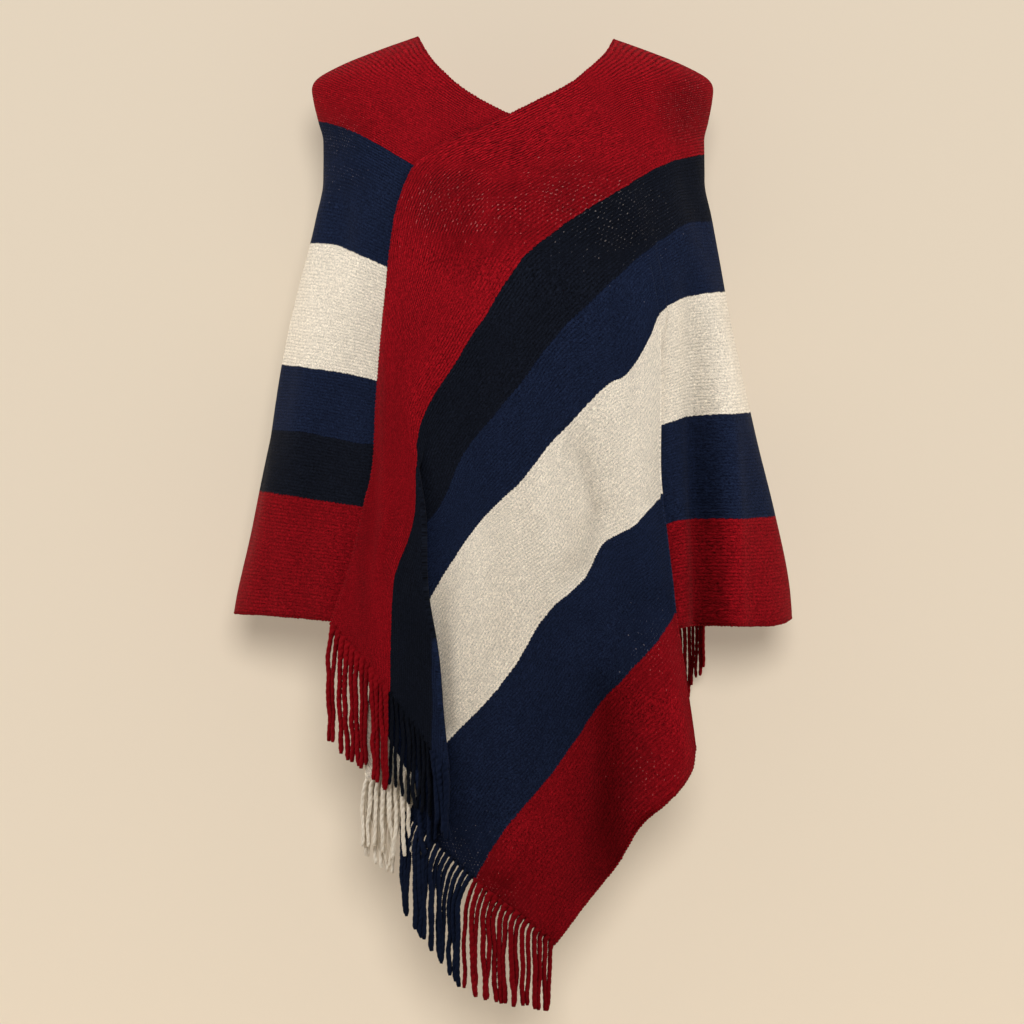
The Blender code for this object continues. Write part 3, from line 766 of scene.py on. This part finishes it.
def growPiece(name, source, tree, values):
    modifier = source.modifiers.new("grow", "NODES")
    modifier.node_group = tree
    for item in tree.interface.items_tree:
        if item.in_out == "INPUT" and item.name in values:
            modifier[item.identifier] = values[item.name]
    shown = source.evaluated_get(bpy.context.evaluated_depsgraph_get())
    mesh = bpy.data.meshes.new_from_object(shown)
    source.modifiers.remove(modifier)
    bpy.data.objects.remove(source)
    mesh.name = name
    return addObject(name, mesh)


def attribute(tree, name, kind="FLOAT"):
    vector = kind == "FLOAT_VECTOR"
    return signal(tree, "GeometryNodeInputNamedAttribute", {"Name": name}, 0, vector, data_type=kind)


def storeAttribute(tree, geometry, name, value, kind="FLOAT"):
    made = addNode(tree, "GeometryNodeStoreNamedAttribute", {"Geometry": geometry, "Name": name},
                   data_type=kind, domain="POINT")
    socket = [s for s in made.inputs if s.name == "Value" and s.enabled][0]
    tree.links.new(value.socket, socket)
    return Signal(tree, made.outputs[0])


fringe = {
    "rings": 76, "sides": 7, "marks": 24, "sunk": 2.5, "tip": 30.0, "seedStep": 7,
    "fullReach": 0.7,  # a strand's chance number at which it has exactly its reach
    "sway": (1.0, 0.8, 0.0), "swayPace": 24.0, "swayGrows": 0.7, "swayApart": 90.0,
    "tilt": 40.0,  # how differently the strands' twists start
    "swell": 0.42, "swellFades": 0.6, "joinedMix": 7.31,
    "strandSize": (0.24, 0.88), "tipSize": (0.35, 0.65),
    "yarn": {  # radius of each ply, how far it stands off the yarn's middle, length of one twist
        "red": (2.45, 0.4, 15.0), "wine": (2.6, 0.4, 15.0), "black": (1.85, 0.4, 15.0),
        "navy": (2.55, 0.4, 15.0), "cream": (1.85, 0.42, 17.0),
    },
    # for each end: how thick its yarn is, how far strands wander and drift aside, and its first seed
    "ends": {"front": (1, 12.0, 8.0, 11), "back": (0.76, 6.0, 2.0, 51)},
    # for each stripe: reach at its two ends, strands, length over which they bend at its two ends,
    # how far down neighbours stay together (the least, and how much more), unevenness, lean aside
    "front": [
        ((124, 112), 12, (45, 45), (1, 26), 0.14, (0, 0, 0)),
        ((104, 80), 8, (45, 45), (1, 20), 0.14, (0, 0, 0)),
        ((75, 85), 7, (40, 40), (20, 40), 0.12, (0, 0, 0)),
        ((86, 72), 16, (5, 44), (20, 40), 0.20, (-0.38, 0, 0.1)),
        ((102, 118), 15, (22, 50), (0.4, 1), 0.10, (-0.5, 0, 0.15)),
        ((122, 76), 16, (44, 5), (2, 12), 0.08, (-0.3, 0, 0.1)),
    ],
    "back": [((108, 112), count, (40, 40), (2, 10), 0.10, (0, 0, 0)) for count in (7, 7, 9, 6, 6, 10)],
}


def strandTree():
    tree, given = startTree("fringeStrands", {
        "Geometry": ["Roots"], "Int": ["Strands", "Seed"], "Material": ["Material"],
        "Float": ["Ply Radius", "Ply Offset", "Twist Length", "Wander", "Drift", "Unevenness", "Joined",
                  "Joined Spread"]})
    path = signal(tree, "GeometryNodeMeshToCurve", {"Mesh": given["Roots"]})
    spots = signal(tree, "GeometryNodeCurveToPoints", {"Curve": path, "Count": given["Strands"]}, "Points",
                   mode="COUNT")
    spots = storeAttribute(tree, spots, "root", signal(tree, "GeometryNodeInputPosition"), "FLOAT_VECTOR")
    chance = signal(tree, "FunctionNodeRandomValue", {"Seed": given["Seed"]}, 1, data_type="FLOAT")
    spots = storeAttribute(tree, spots, "tone", chance)
    line = signal(tree, "GeometryNodeCurvePrimitiveLine", {"End": (0, 0, -1)})
    line = signal(tree, "GeometryNodeResampleCurve", {"Curve": line, "Count": fringe["rings"]})
    strands = signal(tree, "GeometryNodeInstanceOnPoints", {"Points": spots, "Instance": line})
    strands = signal(tree, "GeometryNodeRealizeInstances", {"Geometry": strands})

    # each strand leaves the cloth along it, bends down over a short way and hangs
    root, leave = attribute(tree, "root", "FLOAT_VECTOR"), attribute(tree, "leave", "FLOAT_VECTOR")
    reach, bend, tone = (attribute(tree, label) for label in ("reach", "bend", "tone"))
    share = signal(tree, "GeometryNodeSplineParameter", None, "Factor")
    reach = reach * ((tone - fringe["fullReach"]) * given["Unevenness"] + 1.0)
    length = reach + bend * 0.5 * (leave.split()[2] + 1.0)
    gone = share * length
    left = gone.calc("DIVIDE", bend).takenFrom(1.0, clamp=True)
    ahead = bend * 0.5 * (left * left).takenFrom(1.0)
    where = root + leave.stretch(ahead) + combine(tree, z=ahead - gone)

    # it wanders, drifts aside and twists
    track = combine(tree, tone * fringe["swayApart"], gone * fringe["swayPace"], given["Seed"])
    sway = noise(tree, track, 1.0, 1.0, output="Color") - (0.5, 0.5, 0.5)
    sway = sway.stretch(given["Wander"] * share.calc("POWER", fringe["swayGrows"])) * fringe["sway"]
    slide = (tone - 0.5) * given["Drift"] * (share * share)
    where = where + sway + combine(tree, slide)
    strands = signal(tree, "GeometryNodeSetPosition", {"Geometry": strands, "Position": where})
    turns = gone.calc("DIVIDE", given["Twist Length"]) * (2 * math.pi) + tone * fringe["tilt"]
    strands = signal(tree, "GeometryNodeSetCurveTilt", {"Curve": strands, "Tilt": turns})

    # thicker where it is joined to its neighbours, and thinner at its tip
    joined = (tone * fringe["joinedMix"]).calc("FRACT").ramp(given["Joined Spread"], given["Joined"])
    thick = gone.calc("DIVIDE", joined).takenFrom(1.0, clamp=True).calc("POWER", fringe["swellFades"])
    tip = share.takenFrom(1.0).calc("MULTIPLY", fringe["tip"], clamp=True)
    size = tone.ramp(*fringe["strandSize"]) * (thick * fringe["swell"] + 1.0) * tip.ramp(*fringe["tipSize"])
    circle = {"Resolution": fringe["sides"], "Radius": given["Ply Radius"]}
    ply = signal(tree, "GeometryNodeCurvePrimitiveCircle", circle)
    both = tree.nodes.new("GeometryNodeJoinGeometry")
    for sign in (1.0, -1.0):
        shift = combine(tree, given["Ply Offset"] * sign)
        moved = signal(tree, "GeometryNodeTransform", {"Geometry": ply, "Translation": shift})
        fill(tree, both, {0: moved})
    yarn = {"Curve": strands, "Profile Curve": both.outputs[0], "Scale": size, "Fill Caps": True}
    yarn = signal(tree, "GeometryNodeCurveToMesh", yarn)
    return finishTree(tree, yarn, given["Material"])


def pathMesh(name, points, attributes):  # a line of points that a tree grows pieces on
    mesh = bpy.data.meshes.new(name)
    edges = [(i, i + 1) for i in range(len(points) - 1)]
    mesh.from_pydata((np.asarray(points) * mm).tolist(), edges, [])
    for label, values in attributes.items():
        storeOnMesh(mesh, label, values)
    return addObject(name, mesh)


def hangFringe(side, panel, column, nextColumn, tree):
    points = panel.grid[column]
    outDirection = points - panel.grid[nextColumn]
    outDirection /= np.linalg.norm(outDirection, axis=1)[:, None]
    points = points - outDirection * fringe["sunk"]
    distances = panel.v[column]
    run = np.concatenate([[0.0], np.cumsum(np.linalg.norm(np.diff(points, axis=0), axis=1))])
    edges = np.interp(panel.lines, distances, run)
    fine, wander, drift, seed = fringe["ends"][side]
    counts, made = {}, []
    for i, ((yarn, _), start, stop, row) in enumerate(zip(panel.stripes, edges, edges[1:], fringe[side])):
        (low, high), count, bends, joined, unevenness, lean = row
        colour = "red" if yarn == "wine" else yarn
        counts[colour] = counts.get(colour, 0) + 1
        inset = (stop - start) / count / 2
        marks = np.linspace(start + inset, stop - inset, fringe["marks"])
        share = (marks - start) / (stop - start)
        roots, leave = (np.stack([np.interp(marks, run, values[:, k]) for k in range(3)], axis=1)
                        for values in (points, outDirection))
        leave = leave + np.array(lean)
        leave /= np.linalg.norm(leave, axis=1)[:, None]
        bend = np.interp(share, (0, 1), bends) * mm
        reach = (low + (high - low) * share + fringe["sunk"]) * mm
        node = f"{side}_fringe_{colour}_{counts[colour]}"
        name = f"{side}Fringe{colour.capitalize()}{counts[colour]}"
        path = pathMesh(name + "Roots", roots, {"leave": leave, "reach": reach, "bend": bend})
        ply, apart, twist = fringe["yarn"][yarn]
        piece = growPiece(name, path, tree, {
            "Strands": count, "Ply Radius": ply * fine * mm, "Ply Offset": apart * mm,
            "Twist Length": twist * mm, "Wander": wander * mm, "Drift": drift * mm,
            "Unevenness": unevenness, "Joined": joined[0] * mm, "Joined Spread": joined[1] * mm,
            "Seed": seed + fringe["seedStep"] * i, "Material": yarns[yarn]})
        made.append((piece, node, colour))
    return made


strands = strandTree()
fringes = hangFringe("front", wrap, 0, 1, strands) + hangFringe("back", under, -1, -2, strands)
print("fringe grown:", sum(len(piece.data.polygons) for piece, _, _ in fringes), "faces")

# a row of stitches along the long edges
edging = {"step": 3.9, "long": 2.4, "thick": 1.8, "high": 1.5, "tilt": 24.0, "out": 0.7,
          "segments": 8, "rings": 5, "seed": 5, "highTone": (0.5, 0.72)}


def edgingTree():
    tree, given = startTree("edgeStitches", {
        "Geometry": ["Edge"], "Int": ["Stitches", "Seed"],
        "Float": ["Long", "Thick", "High", "Tilt"], "Material": ["Material"]})
    path = signal(tree, "GeometryNodeMeshToCurve", {"Mesh": given["Edge"]})
    inputs = {"Curve": path, "Count": given["Stitches"]}
    spots = addNode(tree, "GeometryNodeCurveToPoints", inputs, mode="COUNT")
    chance = signal(tree, "FunctionNodeRandomValue", {"Seed": given["Seed"]}, 1, data_type="FLOAT")
    placed = storeAttribute(tree, spots.outputs["Points"], "tone", chance)
    align, across = "FunctionNodeAlignRotationToVector", attribute(tree, "across", "FLOAT_VECTOR")
    turned = signal(tree, align, {"Vector": spots.outputs["Tangent"]}, axis="X")
    turned = signal(tree, align, {"Rotation": turned, "Vector": across}, axis="Z", pivot_axis="X")
    lean = signal(tree, "FunctionNodeAxisAngleToRotation", {"Axis": (0, 1, 0), "Angle": given["Tilt"]})
    turned = signal(tree, "FunctionNodeRotateRotation", {"Rotation": turned, "Rotate By": lean},
                    rotation_space="LOCAL")
    high = given["High"] * attribute(tree, "tone").ramp(*edging["highTone"])
    size = combine(tree, given["Long"], high, given["Thick"])
    bead = {"Segments": edging["segments"], "Rings": edging["rings"], "Radius": 1.0}
    bead = signal(tree, "GeometryNodeMeshUVSphere", bead)
    row = {"Points": placed, "Instance": bead, "Rotation": turned, "Scale": size}
    row = signal(tree, "GeometryNodeInstanceOnPoints", row)
    return finishTree(tree, row, given["Material"])


def edgeRow(name, panel, row, inside, yarn, tree):
    points = panel.grid[:, row]
    outward = points - panel.grid[:, inside]
    outward /= np.linalg.norm(outward, axis=1)[:, None]
    points = points + outward * edging["out"]
    length = np.linalg.norm(np.diff(points, axis=0), axis=1).sum()
    path = pathMesh(name + "Path", points, {"across": gridNormals(panel.grid)[:, row]})
    return growPiece(name, path, tree, {
        "Stitches": int(length / edging["step"]), "Long": edging["long"] * mm,
        "Thick": edging["thick"] * mm, "High": edging["high"] * mm, "Tilt": math.radians(edging["tilt"]),
        "Seed": edging["seed"], "Material": yarns[yarn]})


stitches = edgingTree()
wrapEdges, underEdges = (
    [edgeRow(name + "NeckEdge", panel, 0, 1, "red", stitches),
     edgeRow(name + "HemEdge", panel, -1, -2, "wine", stitches)]
    for name, panel in (("wrap", wrap), ("under", under)))
print("edges stitched:", sum(len(piece.data.polygons) for piece in wrapEdges + underEdges), "faces")

# stage and light
studio = {
    "paper": (0.783, 0.672, 0.527),
    "floorDrop": 0.09, "floorHalf": 1.6, "floorGlow": 0.5,
    "wallAt": 0.185, "wallHalf": 1.1, "wallTop": 0.6, "wallGlow": 0.31,
    "fill": 0.30,
    "wallSun": {"from": (0.03, -1.0, 0.17), "strength": 2.2, "spread": 13},
    "aim": (0, 0, -0.3),
    # name, place, size, watts
    "lamps": [("topLight", (0.0, -1.2, 1.5), 1.2, 19), ("leftLight", (-1.9, -1.0, 0.2), 1.0, 22.5),
              ("rightLight", (1.9, -1.0, 0.2), 1.0, 22.5), ("backLight", (0.3, 1.9, 0.9), 1.2, 27)],
}
paperColour = (*studio["paper"], 1)
paper, shading = newMaterial("paper")
seen = signal(shading, "ShaderNodeLightPath", None, "Is Camera Ray")
fill(shading, shading.nodes["Principled BSDF"], {
    "Base Color": paperColour, "Roughness": 1.0, "Specular IOR Level": 0.0,
    "Emission Color": paperColour, "Emission Strength": seen * studio["floorGlow"]})

# the wall behind catches the soft shadow, and is clear when seen from its back
backdrop, shading = newMaterial("backdrop")
shading.nodes.remove(shading.nodes["Principled BSDF"])
matt = signal(shading, "ShaderNodeBsdfDiffuse", {"Color": paperColour})
glow = signal(shading, "ShaderNodeEmission", {"Color": paperColour, "Strength": 1.0})
front = signal(shading, "ShaderNodeMixShader", {0: studio["wallGlow"], 1: matt, 2: glow})
clear = signal(shading, "ShaderNodeBsdfTransparent")
fromBack = signal(shading, "ShaderNodeNewGeometry", None, "Backfacing")
both = signal(shading, "ShaderNodeMixShader", {0: fromBack, 1: front, 2: clear})
fill(shading, shading.nodes["Material Output"], {"Surface": both})


def stagePlane(name, half, near, far, material):  # between two level edges, each a (y, z)
    mesh = bpy.data.meshes.new(name)
    mesh.from_pydata([(-half, *near), (half, *near), (half, *far), (-half, *far)], [], [(0, 1, 2, 3)])
    mesh.materials.append(material)
    plane = addObject(name, mesh)
    return plane


floorZ, half, wallY = cadLow[2] - studio["floorDrop"], studio["floorHalf"], studio["wallAt"]
stageParts = [stagePlane("floor", half, (-half, floorZ), (half, floorZ), paper),
              stagePlane("wall", studio["wallHalf"], (wallY, floorZ), (wallY, studio["wallTop"]), backdrop)]

world = bpy.data.worlds.new("studio")
bpy.context.scene.world = world
world.use_nodes = True
sky = world.node_tree
plain = sky.nodes["Background"]
fill(sky, plain, {"Color": (1, 1, 1, 1), "Strength": studio["fill"]})
shown = signal(sky, "ShaderNodeBackground", {"Color": paperColour, "Strength": 1.0})
seen = signal(sky, "ShaderNodeLightPath", None, "Is Camera Ray")
blend = signal(sky, "ShaderNodeMixShader", {0: seen, 1: plain.outputs[0], 2: shown})
fill(sky, sky.nodes["World Output"], {"Surface": blend})


def placeLamp(name, kind, place, target, strength, lights):  # it lights only the objects in the list
    lampData = bpy.data.lights.new(name, kind)
    lampData.energy = strength
    lamp = addObject(name, lampData)
    lamp.location = place
    aim = Vector(target) - Vector(place)
    lamp.rotation_euler = aim.to_track_quat("-Z", "Y").to_euler()
    receivers = bpy.data.collections.new(name + "Receivers")
    for receiver in lights:
        receivers.objects.link(receiver)
    lamp.light_linking.receiver_collection = receivers
    return lampData


sun = placeLamp("wallSun", "SUN", studio["wallSun"]["from"], (0, 0, 0), studio["wallSun"]["strength"],
                stageParts)
sun.angle = math.radians(studio["wallSun"]["spread"])
garment = [wrapPiece, underPiece] + wrapEdges + underEdges + [piece for piece, _, _ in fringes]
for name, place, size, watts in studio["lamps"]:
    placeLamp(name, "AREA", place, studio["aim"], watts, garment).size = size
bpy.context.scene.view_settings.view_transform = "Standard"
print("stage and lights set")

# each piece hangs from the root in place of its part from the model, which is hidden
placed = [(wrapPiece, "wrap_panel", "red"), (underPiece, "under_panel", "navy")] + fringes
for piece, node, colour in placed:
    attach(piece, "root")
    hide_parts(node)
    colour + "_knit"
for piece in wrapEdges + underEdges:
    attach(piece, "root")
wrapEdges + [piece for piece, node, _ in fringes if node.startswith("front")]
underEdges + [piece for piece, node, _ in fringes if node.startswith("back")]

print("done")
